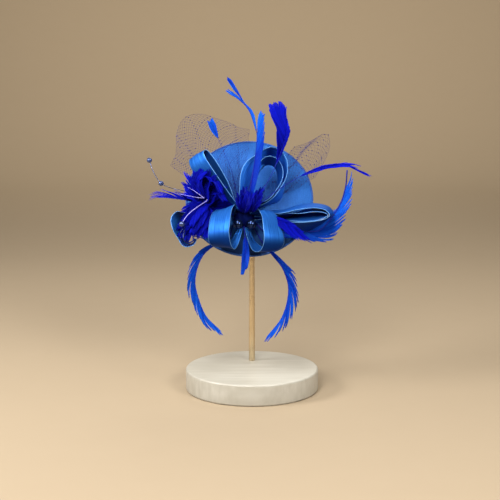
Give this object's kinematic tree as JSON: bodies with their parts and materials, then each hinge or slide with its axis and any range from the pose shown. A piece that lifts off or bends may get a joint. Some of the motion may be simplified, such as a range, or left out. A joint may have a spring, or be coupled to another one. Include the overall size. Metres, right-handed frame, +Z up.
{
  "type": "feather fascinator on a plain display stand",
  "caption": "Blue disc fascinator with satin ribbon loops, dyed feathers, net veil and navy pearls, held by a plain round stand.",
  "frame": {"origin": "centre of the underside of the stand's foot, on the table", "axes": "+Z up; the hat's face looks up and towards -Y; +X is to the right as seen from the front"},
  "size_m": [0.2546, 0.1595, 0.3529],
  "materials": {
    "ivory_paint": "painted, satin",
    "champagne_brass": "polished",
    "clip_steel": "satin",
    "blue_cloth": "woven straw cloth",
    "cloth_binding": "bias binding",
    "navy_satin": "satin",
    "blue_satin": "satin ribbon",
    "blue_feather": "dyed feather",
    "royal_feather": "dyed feather",
    "blue_net": "net",
    "navy_pearl": "pearl lustre"
  },
  "bodies": {
    "root": {"centre_bead_left": "navy_pearl", "centre_bead_right": "navy_pearl", "centre_knot": "navy_satin", "hackle_cluster": "royal_feather", "hair_clip": "clip_steel", "hat_base": "blue_cloth", "pearl_spray_lower": "navy_pearl", "pearl_spray_outer": "navy_pearl", "plume_fan": "royal_feather", "plume_forked": "blue_feather", "plume_hanging_left": "blue_feather", "plume_hanging_right": "blue_feather", "plume_leaf": "blue_feather", "plume_left": "blue_feather", "plume_short": "blue_feather", "plume_side": "blue_feather", "plume_sweeping": "blue_feather", "plume_tall": "blue_feather", "plume_tuft": "royal_feather", "quill_curl": "royal_feather", "ribbon_front_left": "blue_satin", "ribbon_front_right": "blue_satin", "ribbon_side_inner": "blue_satin", "ribbon_side_outer": "blue_satin", "ribbon_tail": "blue_satin", "ribbon_top_inner": "blue_satin", "ribbon_top_outer": "blue_satin", "ribbon_upper_left": "blue_satin", "rim_binding": "cloth_binding", "stand_foot": "ivory_paint", "stand_rest": "champagne_brass", "stand_rod": "champagne_brass", "veil_left": "blue_net", "veil_right": "blue_net"}
  },
  "joints": []
}
